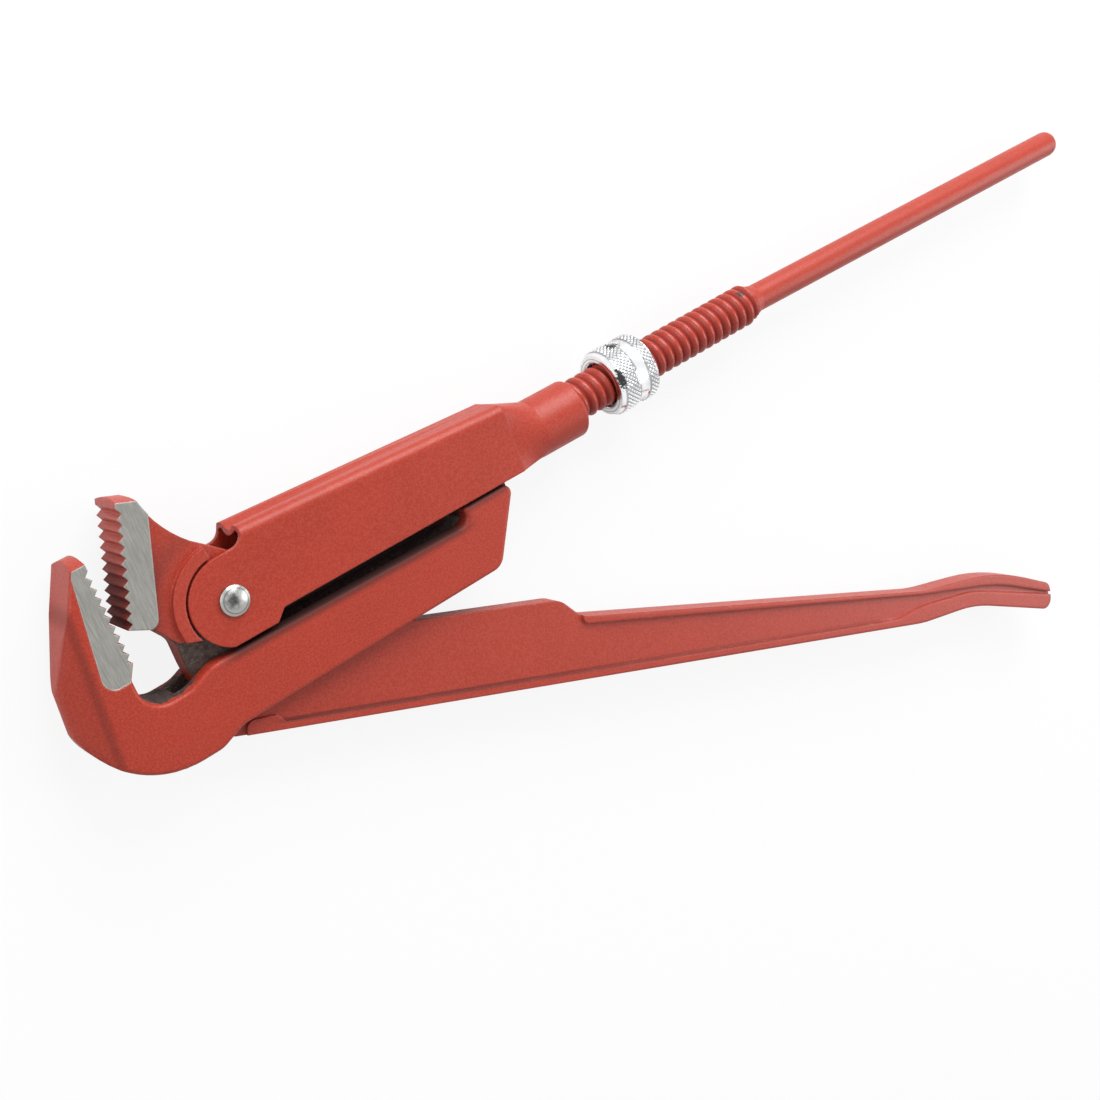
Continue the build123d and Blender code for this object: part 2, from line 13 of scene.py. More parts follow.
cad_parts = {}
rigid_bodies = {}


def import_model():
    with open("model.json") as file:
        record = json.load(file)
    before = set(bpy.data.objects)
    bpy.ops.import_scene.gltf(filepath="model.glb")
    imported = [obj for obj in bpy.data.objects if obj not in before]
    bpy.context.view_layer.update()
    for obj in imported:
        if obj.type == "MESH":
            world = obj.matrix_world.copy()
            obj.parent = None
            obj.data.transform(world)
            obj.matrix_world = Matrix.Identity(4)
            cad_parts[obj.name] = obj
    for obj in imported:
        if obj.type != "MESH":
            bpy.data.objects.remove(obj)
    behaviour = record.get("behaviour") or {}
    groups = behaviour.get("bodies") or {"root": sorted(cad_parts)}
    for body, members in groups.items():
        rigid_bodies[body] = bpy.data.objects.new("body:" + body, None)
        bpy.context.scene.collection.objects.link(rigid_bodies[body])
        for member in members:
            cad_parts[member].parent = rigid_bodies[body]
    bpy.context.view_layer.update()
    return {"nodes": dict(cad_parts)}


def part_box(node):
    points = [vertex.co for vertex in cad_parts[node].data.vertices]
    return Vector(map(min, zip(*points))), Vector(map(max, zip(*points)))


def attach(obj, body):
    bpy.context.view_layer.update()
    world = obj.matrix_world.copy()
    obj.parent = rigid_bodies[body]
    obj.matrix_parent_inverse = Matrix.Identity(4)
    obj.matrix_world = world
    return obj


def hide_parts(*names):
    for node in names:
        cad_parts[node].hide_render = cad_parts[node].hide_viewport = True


bl_info = {
    "name": "Pipe wrench looks",
    "version": (1, 0, 0),
    "blender": (4, 5, 0),
    "location": "3D View > Sidebar > Wrench",
    "description": "Paint, bare steel, spindle thread and knurled nut for the packed pipe wrench",
    "category": "Object",
}

for leftover in list(bpy.data.objects):
    bpy.data.objects.remove(leftover)
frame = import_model()
NODES = frame["nodes"]
MM = 0.001

NUT_LOW, NUT_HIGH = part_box("adjusting_nut")
RIVET_LOW, RIVET_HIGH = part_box("pivot_rivet")
PIVOT = (RIVET_LOW + RIVET_HIGH) / 2
SPINDLE_Y = (NUT_LOW.y + NUT_HIGH.y) / 2
SPINDLE_Z = (NUT_LOW.z + NUT_HIGH.z) / 2
ORIGIN = Vector((PIVOT.x, SPINDLE_Y, SPINDLE_Z))

# Places in the shading, in millimetres, with the slopes and angles that go with them. A side counts as flat
# from FLAT_FACE of its normal, and as lying in a plane within PLANE_MISS.
PIVOT_RISE = (PIVOT.y - SPINDLE_Y) / MM
FLAT_FACE = 0.995
PLANE_MISS = 0.05

# The hook leg: ground side, ridge of the back's bevel, slot, throat, and the fork's and the lug's tops, which
# get the sleeve's painted shadow.
HOOK_SIDE = 8.6
HOOK_SIDE_END = -30.5
HOOK_GRIND = math.radians(-52)
RIDGE_X = -44.5
RIDGE_Y = -7.2
RIDGE_LEAN = -0.114
RIDGE_FOOT = (-2.4, -0.5)
SLOT_HALF = 4.0
SLOT_X = (-27, 92)
SLOT_Y = (-31, -10)
THROAT_HALF = (4.5, 8.0)
THROAT_X = (-33.5, -19)
THROAT_Y = (-20, -7.5)
FORK_TOP = -12.7
FORK_SLOPE = -0.0267
FORK_X = (-9, 76)
LUG_TOP = -9.9
LUG_X = (77, 96)
UNDER_SLEEVE = -9.5

# The moving leg: ground side, neck, hollow behind the jaw, and the handle's lower rim; the hollow and the
# rim's foot get painted shade.
JAW_SIDE = 8.3
JAW_GRIND = math.radians(-32)
NECK_SIDES = (6.9, 3.5)
NECK_X = (-24, 8)
NECK_LOW = (-28, -22)
NECK_TOP = -1
HOLLOW_REACH = (21, 34)
HOLLOW_RISE = (-13, 22)
LEG_OPENING = math.radians(20)
RIM_SLOPE = 0.045
RIM_DROP = 37.9
RIM_LINE = (-0.3, 0.9)
RIM_LENGTH = (13, 255)
RIM_FADE = (60, 240)
HANDLE_START = (95, 125)

# The spindle's stake mark, the nut's rings and smudges (from its front), and the rivet's head with its
# painted dark reflection and ring of painted shade.
STAKE_X = 206.0
STAKE_Y = 5.2
RING_PITCH = 1.0
BAND_BLOT = Vector((7.8, 11.2, 2.8))
BAND_BLOT_RADII = Vector((2.8, 1.8, 2.8))
RIM_BLOT = Vector((1.4, 2.4, 11.1))
RIM_BLOT_RADII = Vector((1.3, 4.2, 3.0))
CROWN_X = -0.8
CROWN_RISE = 0.5
RIVET_RING = (3.5, 3.75)

# How strongly the dark tones show: painted shade at the back's foot, in the hollow, in the knurl's grooves
# and in the rivet's ring, beside the real stake mark and turning rings. How rough the painted shade is.
FOOT_SHADE = 0.3
HOLLOW_SHADE = 0.45
STAKE_SHADE = 0.95
GROOVE_SHADE = 0.58
RING_SHADE = 0.5
RIVET_RING_SHADE = 0.75
SHADE_ROUGHNESS = 0.8

# Section of the thread, and the bands and the waist of the nut.
CREST_GAIN = 1.08
CREST_POWER = 0.75
FADE_SHARE = 0.7
FRONT_BAND = 1.7 * MM
REAR_BAND = 4.2 * MM
FRONT_ROWS = 8
REAR_ROWS = 5
KNURL_ROW = 0.78 * MM
WAIST_START = 2.9 * MM
WAIST_END = 0.35 * MM
WAIST_DEPTH = 0.3 * MM
THREAD_SMOOTH = math.radians(40)
NUT_SMOOTH = math.radians(24)
WELD_MISS = 0.002 * MM
SEAM_MISS = 0.01 * MM
KNURL_MISS = 0.02 * MM

# The stage: floor, with its dark strip below the gap between sleeve and fork, lamps and camera. The strip is
# in millimetres, as in the shading.
FLOOR_SIZE = 6.0
FLOOR_DROP = 0.2 * MM
FLOOR_WHITE = (0.85, 0.85, 0.85, 1.0)
FLOOR_GLOW = 0.88
FLOOR_GLOSS = 0.3
STRIP_X = (15, 86)
STRIP_Y = (-26, -10)
LAMP_AIM = Vector((0.0, 0.03, 0.01))
CAMERA_STAND = Vector((-129.107, 132.871, 423.161)) * MM
CAMERA_AHEAD = Vector((0.45453, -0.33611, -0.82488))
CAMERA_UPWARD = Vector((0.46786, 0.87812, -0.1))
SENSOR_WIDTH = 36.0
CLIP_START = 0.01

# Sockets of node groups, and a Mix node's two inputs and its output for each kind of value.
FLOAT_SOCKET = "NodeSocketFloat"
VECTOR_SOCKET = "NodeSocketVector"
MIX_SOCKETS = {"FLOAT": (2, 3, 0), "VECTOR": (4, 5, 1), "RGBA": (6, 7, 2)}


class SpindleThreadSizes(bpy.types.PropertyGroup):
    """Sizes of the coarse rounded thread on the spindle."""

    pitch: FloatProperty(
        name="Pitch", description="Travel of one turn", default=3.75 * MM, unit="LENGTH", precision=5)
    crest: FloatProperty(
        name="Crest diameter", description="Across the crests", default=14.0 * MM, unit="LENGTH",
        precision=5)
    root: FloatProperty(
        name="Root diameter", description="Across the grooves", default=11.5 * MM, unit="LENGTH",
        precision=5)
    start: FloatProperty(
        name="Start", description="From the pivot to the thread's start", default=114.6 * MM, unit="LENGTH",
        precision=5)
    length: FloatProperty(
        name="Length", description="Threaded length", default=96.4 * MM, unit="LENGTH", precision=5)
    steps: IntProperty(
        name="Steps", description="Faces round one turn", default=48, min=12)
    points: IntProperty(
        name="Points", description="Points along one pitch of the section", default=16, min=8)


class NutSizes(bpy.types.PropertyGroup):
    """Sizes of the knurled setting nut."""

    diameter: FloatProperty(
        name="Diameter", description="Across the knurl's points", default=NUT_HIGH.y - NUT_LOW.y,
        unit="LENGTH", precision=5)
    length: FloatProperty(
        name="Length", description="Along the spindle", default=NUT_HIGH.x - NUT_LOW.x, unit="LENGTH",
        precision=5)
    bore: FloatProperty(
        name="Bore", description="Clear of the thread's crests", default=14.3 * MM, unit="LENGTH",
        precision=5)
    knurl_depth: FloatProperty(
        name="Knurl depth", description="From a point to the groove", default=0.55 * MM, unit="LENGTH",
        precision=5)
    knurl_count: IntProperty(
        name="Knurl count", description="Points round the nut", default=44, min=12)


class FinishColours(bpy.types.PropertyGroup):
    """Colours of the finishes."""

    paint: FloatVectorProperty(
        name="Paint", description="Red paint", default=(0.365, 0.030, 0.012), size=3, subtype="COLOR",
        min=0, max=1)
    # The shade colour is painted shade, laid into corners, hollows and the places under the sleeve.
    shade: FloatVectorProperty(
        name="Shade", description="Dirt in corners of the paint", default=(0.012, 0.004, 0.003), size=3,
        subtype="COLOR", min=0, max=1)
    ground_steel: FloatVectorProperty(
        name="Ground steel", description="Ground sides of the jaws", default=(0.335, 0.327, 0.302), size=3,
        subtype="COLOR", min=0, max=1)
    raw_steel: FloatVectorProperty(
        name="Raw steel", description="Unpainted forging inside the fork", default=(0.045, 0.032, 0.027),
        size=3, subtype="COLOR", min=0, max=1)
    rubbed_steel: FloatVectorProperty(
        name="Rubbed steel", description="Pale flecks on the raw steel", default=(0.55, 0.52, 0.45), size=3,
        subtype="COLOR", min=0, max=1)
    plating: FloatVectorProperty(
        name="Plating", description="Bright plating of the nut", default=(0.90, 0.91, 0.92), size=3,
        subtype="COLOR", min=0, max=1)
    rivet: FloatVectorProperty(
        name="Rivet", description="Bare steel of the rivet", default=(0.38, 0.38, 0.365), size=3,
        subtype="COLOR", min=0, max=1)


class StageSettings(bpy.types.PropertyGroup):
    """Light and camera of the stage."""

    key_power: FloatProperty(
        name="Key lamp", description="Power of the large lamp beyond the sleeve", default=17.0,
        subtype="POWER")
    hook_power: FloatProperty(
        name="Hook lamp", description="Power of the lamp on the hook's side", default=3.4, subtype="POWER")
    grip_power: FloatProperty(
        name="Grip lamp", description="Power of the small lamp beyond the grips", default=3.0,
        subtype="POWER")
    sky_strength: FloatProperty(
        name="Sky", description="Strength of the even light all round", default=0.40, min=0)
    lens: FloatProperty(
        name="Lens", description="Focal length on a 36 mm sensor", default=52.36, subtype="DISTANCE_CAMERA")


class WrenchSettings(bpy.types.PropertyGroup):
    """Everything that a user would change."""

    thread: PointerProperty(name="Thread", description="Spindle thread", type=SpindleThreadSizes)
    nut: PointerProperty(name="Nut", description="Setting nut", type=NutSizes)
    colours: PointerProperty(name="Colours", description="Finishes", type=FinishColours)
    stage: PointerProperty(name="Stage", description="Light and camera", type=StageSettings)


def settings():
    """The wrench's settings on the scene."""
    return bpy.context.scene.wrench


def colour(values):
    """Four numbers from a colour's three."""
    return (values[0], values[1], values[2], 1.0)


def tinted(values, share):
    """A colour made darker or paler."""
    return [share * part for part in values]


class Nodes:
    """Small helper that adds and links nodes in one tree."""

    def __init__(self, tree):
        self.tree = tree

    def add(self, kind, **values):
        """A node with its properties set."""
        node = self.tree.nodes.new(kind)
        for key, value in values.items():
            setattr(node, key, value)
        return node

    def link(self, source, target):
        """A link from an output socket, or a plain value, to an input socket."""
        if isinstance(source, bpy.types.NodeSocket):
            self.tree.links.new(source, target)
        else:
            target.default_value = source

    def math(self, operation, first, second=0.0):
        """Result of a Math node."""
        node = self.add("ShaderNodeMath", operation=operation)
        self.link(first, node.inputs[0])
        self.link(second, node.inputs[1])
        return node.outputs[0]

    def plus(self, first, second):
        """Sum of two values."""
        return self.math("ADD", first, second)

    def minus(self, first, second):
        """Difference of two values."""
        return self.math("SUBTRACT", first, second)

    def product(self, first, *others):
        """Masks or values multiplied together."""
        for other in others:
            first = self.math("MULTIPLY", first, other)
        return first

    def largest(self, first, *others):
        """The largest of masks or values."""
        for other in others:
            first = self.math("MAXIMUM", first, other)
        return first

    def magnitude(self, value):
        """A value without its sign."""
        return self.math("ABSOLUTE", value)

    def reach(self, across, upward):
        """Distance from an axis, from two distances square to each other."""
        squares = self.plus(self.product(across, across), self.product(upward, upward))
        return self.math("SQRT", squares)

    def vector(self, operation, first, second=(0.0, 0.0, 0.0)):
        """Result of a Vector Math node."""
        node = self.add("ShaderNodeVectorMath", operation=operation)
        self.link(first, node.inputs[0])
        self.link(second, node.inputs[1])
        return node.outputs["Value" if operation in ("DOT_PRODUCT", "LENGTH") else "Vector"]

    def parts(self, vector):
        """The three parts of a vector."""
        node = self.add("ShaderNodeSeparateXYZ")
        self.link(vector, node.inputs[0])
        return node.outputs

    def ramp(self, value, span, ends=(0.0, 1.0)):
        """Value taken smoothly from one range to another."""
        node = self.add("ShaderNodeMapRange", interpolation_type="SMOOTHSTEP")
        for socket, source in zip(node.inputs, (value, *span, *ends)):
            self.link(source, socket)
        return node.outputs["Result"]

    def inside(self, value, span, soft):
        """Mask of the values between two limits, with soft ends."""
        low, high = span
        above = self.ramp(value, (low - soft, low + soft))
        below = self.ramp(value, (high - soft, high + soft), (1.0, 0.0))
        return self.product(above, below)

    def mix(self, factor, first, second, kind="RGBA"):
        """Two colours, values or vectors mixed."""
        node = self.add("ShaderNodeMix", data_type=kind)
        low, high, result = MIX_SOCKETS[kind]
        self.link(factor, node.inputs[0])
        for source, index in ((first, low), (second, high)):
            plain_colour = kind == "RGBA" and not isinstance(source, bpy.types.NodeSocket)
            self.link(colour(source) if plain_colour else source, node.inputs[index])
        return node.outputs[result]

    def noise(self, vector, scale, detail=2.0, roughness=0.5):
        """Height of a noise texture with features of 1/scale metres."""
        node = self.add("ShaderNodeTexNoise")
        self.link(vector, node.inputs["Vector"])
        node.inputs["Scale"].default_value = scale
        node.inputs["Detail"].default_value = detail
        node.inputs["Roughness"].default_value = roughness
        return node.outputs["Fac"]

    def bump(self, height, strength, distance, normal):
        """Normal bent by a height."""
        node = self.add("ShaderNodeBump")
        node.inputs["Strength"].default_value = strength
        node.inputs["Distance"].default_value = distance
        self.link(height, node.inputs["Height"])
        self.link(normal, node.inputs["Normal"])
        return node.outputs["Normal"]

    def place(self):
        """Object coordinates, and the parts of the place in millimetres from the pivot and the spindle."""
        coordinates = self.add("ShaderNodeTexCoord").outputs["Object"]
        away = self.vector("SUBTRACT", coordinates, ORIGIN)
        return coordinates, self.parts(self.vector("DIVIDE", away, (MM, MM, MM)))

    def facing(self):
        """The parts of the face's own normal."""
        return self.parts(self.add("ShaderNodeNewGeometry").outputs["True Normal"])

    def seen(self, gloss):
        """Mask of the rays that show a white background, with a share for those off shiny surfaces."""
        rays = self.add("ShaderNodeLightPath").outputs
        shiny = self.product(rays["Is Glossy Ray"], gloss)
        return self.largest(rays["Is Camera Ray"], rays["Is Transmission Ray"], shiny)

    def group(self, tree, **values):
        """A placed node group with its inputs set by name."""
        node = self.add("ShaderNodeGroup", node_tree=tree)
        for key, value in values.items():
            self.link(value, node.inputs[key.capitalize()])
        return node.outputs


def shared_group(name, inputs, outputs, build):
    """A node group with named sockets, built the first time that it is asked for."""
    tree = bpy.data.node_groups.get(name)
    if tree is None:
        tree = bpy.data.node_groups.new(name, "ShaderNodeTree")
        for side, sockets in (("INPUT", inputs), ("OUTPUT", outputs)):
            for label, kind in sockets.items():
                tree.interface.new_socket(label, in_out=side, socket_type=kind)
        nodes = Nodes(tree)
        build(nodes, nodes.add("NodeGroupInput").outputs, nodes.add("NodeGroupOutput").inputs)
    return tree


def rounded_edge_group():
    """Group that rounds edges in the shading and masks them for wear."""
    def build(nodes, inputs, outputs):
        bevel = nodes.add("ShaderNodeBevel", samples=6)
        nodes.link(inputs["Radius"], bevel.inputs["Radius"])
        normal = bevel.outputs["Normal"]
        likeness = nodes.vector("DOT_PRODUCT", normal, nodes.add("ShaderNodeNewGeometry").outputs["Normal"])
        nodes.link(normal, outputs["Normal"])
        nodes.link(nodes.ramp(likeness, (0.995, 0.93)), outputs["Edge"])

    return shared_group(
        "rounded_edge", {"Radius": FLOAT_SOCKET}, {"Normal": VECTOR_SOCKET, "Edge": FLOAT_SOCKET}, build)


def paint_grain_group():
    """Group with the orange peel, specks and tone changes of sprayed paint."""
    def build(nodes, inputs, outputs):
        vector = inputs["Vector"]
        peel = nodes.noise(vector, scale=1300.0, detail=3.0, roughness=0.6)
        swell = nodes.noise(vector, scale=380.0)
        specks = nodes.noise(vector, scale=1700.0, roughness=0.7)
        cloud = nodes.noise(vector, scale=45.0, detail=3.0)
        nodes.link(nodes.plus(peel, nodes.product(swell, 0.5)), outputs["Height"])
        nodes.link(nodes.ramp(specks, (0.36, 0.66)), outputs["Specks"])
        nodes.link(nodes.ramp(cloud, (0.3, 0.7)), outputs["Tone"])

    return shared_group(
        "paint_grain", {"Vector": VECTOR_SOCKET},
        {"Height": FLOAT_SOCKET, "Specks": FLOAT_SOCKET, "Tone": FLOAT_SOCKET}, build)


def edge_wear_group():
    """Group that breaks an edge mask into rubbed patches and small chips."""
    def build(nodes, inputs, outputs):
        patches = nodes.noise(inputs["Vector"], scale=130.0, detail=4.0, roughness=0.65)
        flecks = nodes.noise(inputs["Vector"], scale=900.0, detail=3.0, roughness=0.6)
        chip = nodes.product(nodes.ramp(flecks, (0.6, 0.68)), nodes.ramp(patches, (0.5, 0.62)))
        nodes.link(nodes.product(inputs["Edge"], nodes.ramp(patches, (0.35, 0.65))), outputs["Rub"])
        nodes.link(nodes.product(inputs["Edge"], chip), outputs["Chip"])

    return shared_group(
        "edge_wear", {"Vector": VECTOR_SOCKET, "Edge": FLOAT_SOCKET},
        {"Rub": FLOAT_SOCKET, "Chip": FLOAT_SOCKET}, build)


def bare_tree(owner):
    """The emptied node tree of a material or a world, with its helper."""
    owner.use_nodes = True
    owner.node_tree.nodes.clear()
    return Nodes(owner.node_tree)


def new_material(name):
    """A material with a bare Principled shader, its nodes helper and that shader's inputs."""
    material = bpy.data.materials.new(name)
    nodes = bare_tree(material)
    shader = nodes.add("ShaderNodeBsdfPrincipled")
    nodes.link(shader.outputs["BSDF"], nodes.add("ShaderNodeOutputMaterial").inputs["Surface"])
    return material, nodes, shader.inputs


def red_paint(name, bare=None, radius=0.7 * MM, sheen=0.42):
    """Satin red paint with orange peel and rubbed edges.

    bare adds steel, marks and painted shade that lie over the paint. radius rounds the edges: a length, or a
    function that gives one for each place.
    """
    material, nodes, shader = new_material(name)
    coordinates, place = nodes.place()
    grain = nodes.group(paint_grain_group(), vector=coordinates)
    edge_radius = radius(nodes, place) if callable(radius) else radius
    edge = nodes.group(rounded_edge_group(), radius=edge_radius)
    wear = nodes.group(edge_wear_group(), vector=coordinates, edge=edge["Edge"])
    paint = settings().colours.paint
    light = [min(1.0, part + 0.03) for part in tinted(paint, 1.14)]
    cloud = nodes.plus(nodes.product(grain["Tone"], 0.5), 0.5)
    tone = nodes.mix(cloud, tinted(paint, 0.84), paint)
    tone = nodes.mix(nodes.ramp(grain["Specks"], (0.0, 1.0), (0.0, 0.5)), tone, light)
    tone = nodes.mix(nodes.product(wear["Rub"], 0.4), tone, light)
    tone = nodes.mix(nodes.product(wear["Chip"], 0.6), tone, settings().colours.ground_steel)
    rough = nodes.ramp(grain["Height"], (0.4, 1.1), (0.33, 0.47))
    normal = nodes.bump(grain["Height"], strength=0.3, distance=0.14 * MM, normal=edge["Normal"])
    finish = (tone, rough, normal, 0.0)
    if bare is not None:
        finish = bare(nodes, coordinates, place, finish, edge)
    for source, socket in zip(finish, ("Base Color", "Roughness", "Normal", "Metallic")):
        nodes.link(source, shader[socket])
    shader["Specular IOR Level"].default_value = sheen
    return material


def back_line(nodes, place):
    """Distance from the ridge between the hook's side and the bevel along its back."""
    lean = nodes.product(nodes.minus(place["Y"], RIDGE_Y), RIDGE_LEAN)
    return nodes.minus(nodes.plus(place["X"], lean), RIDGE_X)


def back_radius(nodes, place):
    """Edge radius on the hook leg: wide along the hook's back, small elsewhere."""
    return nodes.ramp(back_line(nodes, place), (-4.5, -1.5), (5.0 * MM, 0.8 * MM))


def leg_radius(nodes, place):
    """Edge radius on the moving leg: soft beads along the handle, small elsewhere."""
    return nodes.ramp(place["X"], HANDLE_START, (0.7 * MM, 1.3 * MM))


def plane_mask(nodes, place, offset):
    """Mask of the two flat sides that lie a given distance from the middle of the wrench."""
    miss = nodes.magnitude(nodes.minus(nodes.magnitude(place["Z"]), offset))
    flat = nodes.math("GREATER_THAN", nodes.magnitude(nodes.facing()["Z"]), FLAT_FACE)
    return nodes.product(flat, nodes.math("LESS_THAN", miss, PLANE_MISS))


def laid_over(nodes, mask, under, upper):
    """A finish of tone, roughness, normal and metal laid over another, where the mask is white."""
    tone, rough, normal, metal = under
    upper_tone, upper_rough, upper_normal, upper_metal = upper
    return (
        nodes.mix(mask, tone, upper_tone),
        nodes.mix(mask, rough, upper_rough, "FLOAT"),
        nodes.mix(mask, normal, upper_normal, "VECTOR"),
        nodes.largest(metal, nodes.product(mask, upper_metal)),
    )


def ground_steel(nodes, coordinates, mask, angle, under, edge):
    """Ground jaw side with its fine diagonal lines, over what lies beneath it."""
    turn = nodes.add("ShaderNodeMapping")
    turn.inputs["Rotation"].default_value = (0, 0, angle)
    turn.inputs["Scale"].default_value = (1.0, 0.07, 1.0)
    nodes.link(coordinates, turn.inputs["Vector"])
    lines = nodes.noise(turn.outputs["Vector"], scale=2600.0, detail=3.0, roughness=0.7)
    cloud = nodes.noise(coordinates, scale=160.0)
    steel = settings().colours.ground_steel
    dark = tinted(steel, 0.72)
    shade = nodes.mix(nodes.ramp(lines, (0.3, 0.7)), dark, steel)
    shade = nodes.mix(nodes.ramp(cloud, (0.35, 0.75), (0.0, 0.25)), shade, dark)
    rough = nodes.ramp(lines, (0.2, 0.8), (0.4, 0.56))
    normal = nodes.bump(lines, strength=0.2, distance=0.05 * MM, normal=edge["Normal"])
    metal = 0.85
    return laid_over(nodes, mask, under, (shade, rough, normal, metal))


def raw_steel(nodes, coordinates, mask, under, edge):
    """Dark unpainted forging with pale flecks where it rubs, over what lies beneath it."""
    scale = nodes.noise(coordinates, scale=700.0, detail=4.0, roughness=0.65)
    flecks = nodes.ramp(nodes.noise(coordinates, scale=1500.0, roughness=0.7), (0.62, 0.72))
    colours = settings().colours
    shade = nodes.mix(nodes.ramp(scale, (0.3, 0.75)), colours.raw_steel, tinted(colours.raw_steel, 2.4))
    rubbed = nodes.product(flecks, nodes.largest(edge["Edge"], 0.35))
    shade = nodes.mix(rubbed, shade, colours.rubbed_steel)
    rough = nodes.ramp(scale, (0.3, 0.75), (0.62, 0.45))
    normal = nodes.bump(scale, strength=0.4, distance=0.2 * MM, normal=edge["Normal"])
    metal = 0.4
    return laid_over(nodes, mask, under, (shade, rough, normal, metal))


def shaded(nodes, mask, under):
    """Painted shade: a deeper tone and rougher paint where little light gets to, over what lies beneath it.
    """
    tone, rough, normal, metal = under
    tone = nodes.mix(mask, tone, settings().colours.shade)
    return tone, nodes.mix(mask, rough, SHADE_ROUGHNESS, "FLOAT"), normal, metal


def fork_shade(nodes, place):
    """Mask of the painted shadow that the sleeve casts: full on the fork's top faces, soft on the sides below
    them.
    """
    top = nodes.ramp(nodes.facing()["Y"], (0.4, 0.8), (0.0, 0.95))
    fork_top = nodes.plus(nodes.product(place["X"], FORK_SLOPE), FORK_TOP)
    below_fork = nodes.minus(fork_top, place["Y"])
    below_lug = nodes.minus(LUG_TOP, place["Y"])
    fork = nodes.largest(top, nodes.ramp(below_fork, (0.3, 3.2), (0.8, 0.0)))
    fork = nodes.product(fork, nodes.inside(place["X"], FORK_X, soft=5))
    lug = nodes.largest(top, nodes.ramp(below_lug, (0.2, 2.6), (0.75, 0.0)))
    lug = nodes.product(lug, nodes.inside(place["X"], LUG_X, soft=1.5))
    return nodes.product(nodes.largest(fork, lug), nodes.math("LESS_THAN", place["Y"], UNDER_SLEEVE))


def rim_foot(nodes, place):
    """Mask of the painted shade, a dark line where the moving leg's lower rim meets its web."""
    rise = nodes.minus(place["Y"], PIVOT_RISE)
    cosine, sine = math.cos(LEG_OPENING), math.sin(LEG_OPENING)
    along = nodes.minus(nodes.product(place["X"], cosine), nodes.product(rise, sine))
    aside = nodes.plus(nodes.product(place["X"], sine), nodes.product(rise, cosine))
    above = nodes.plus(nodes.plus(aside, nodes.product(along, RIM_SLOPE)), RIM_DROP)
    line = nodes.product(nodes.inside(above, RIM_LINE, soft=0.35), nodes.inside(along, RIM_LENGTH, soft=4))
    return nodes.product(line, nodes.ramp(along, RIM_FADE, (0.6, 0.3)))


def hook_bare_and_shade(nodes, coordinates, place, under, edge):
    """Ground side of the hook's jaw, raw steel in the fork's slot and on the throat's floor, and painted
    shade under the sleeve and along the back's ridge.
    """
    depth = nodes.magnitude(place["Z"])
    slot = nodes.product(
        nodes.math("LESS_THAN", depth, SLOT_HALF), nodes.inside(place["X"], SLOT_X, soft=2),
        nodes.inside(place["Y"], SLOT_Y, soft=1))
    ragged = nodes.ramp(nodes.noise(coordinates, scale=330.0, detail=3.0), (0.3, 0.7), THROAT_HALF)
    throat = nodes.product(
        nodes.math("LESS_THAN", depth, ragged), nodes.inside(place["X"], THROAT_X, soft=1.5),
        nodes.inside(place["Y"], THROAT_Y, soft=1))
    under = raw_steel(nodes, coordinates, nodes.largest(slot, throat), under, edge)
    # Painted shadow of the sleeve on the fork's and the lug's tops, then painted shade along the foot of the
    # back's ridge.
    under = shaded(nodes, fork_shade(nodes, place), under)
    foot = nodes.inside(back_line(nodes, place), RIDGE_FOOT, soft=0.9)
    under = shaded(nodes, nodes.product(foot, FOOT_SHADE), under)
    on_jaw = nodes.math("LESS_THAN", place["X"], HOOK_SIDE_END)
    mask = nodes.product(plane_mask(nodes, place, HOOK_SIDE), on_jaw)
    return ground_steel(nodes, coordinates, mask, HOOK_GRIND, under, edge)


def leg_bare_and_shade(nodes, coordinates, place, under, edge):
    """Ground side of the moving jaw, raw steel on the neck between the ears and the fork, and painted shade
    in the hollow behind the jaw and along the lower rim.
    """
    rise = nodes.minus(place["Y"], PIVOT_RISE)
    neck = nodes.product(
        nodes.largest(*(plane_mask(nodes, place, side) for side in NECK_SIDES)),
        nodes.inside(place["X"], NECK_X, soft=4), nodes.ramp(rise, NECK_LOW),
        nodes.math("LESS_THAN", rise, NECK_TOP))
    under = raw_steel(nodes, coordinates, neck, under, edge)
    # Painted shade in the hollow behind the jaw, then along the foot of the lower rim.
    hollow = nodes.product(
        nodes.inside(nodes.reach(place["X"], rise), HOLLOW_REACH, soft=2.5),
        nodes.inside(rise, HOLLOW_RISE, soft=7), nodes.math("LESS_THAN", place["X"], 0.0))
    under = shaded(nodes, nodes.product(hollow, HOLLOW_SHADE), under)
    under = shaded(nodes, rim_foot(nodes, place), under)
    return ground_steel(nodes, coordinates, plane_mask(nodes, place, JAW_SIDE), JAW_GRIND, under, edge)


def thread_shade_and_stake(nodes, coordinates, place, under, edge):
    """Painted shade deep in the thread's groove, and the dark stake mark that stops the nut."""
    tone, rough, normal, metal = under
    root = settings().thread.root / 2 / MM
    colours = settings().colours
    # The groove's dark, rough tone is painted shade.
    groove = nodes.ramp(nodes.reach(place["Y"], place["Z"]), (root, root + 1.0), (0.8, 0.0))
    deep = [share * part for share, part in zip((0.55, 0.2, 0.2), colours.paint)]
    tone = nodes.mix(groove, tone, deep)
    rough = nodes.mix(groove, nodes.product(rough, 0.75), SHADE_ROUGHNESS, "FLOAT")
    along = nodes.magnitude(nodes.minus(place["X"], STAKE_X))
    height = nodes.magnitude(nodes.minus(place["Y"], STAKE_Y))
    stake = nodes.product(
        nodes.ramp(along, (0.8, 1.3), (1.0, 0.0)), nodes.ramp(height, (0.5, 0.9), (1.0, 0.0)),
        nodes.math("GREATER_THAN", place["Z"], 0.0), STAKE_SHADE)
    return nodes.mix(stake, tone, colours.raw_steel), rough, normal, metal


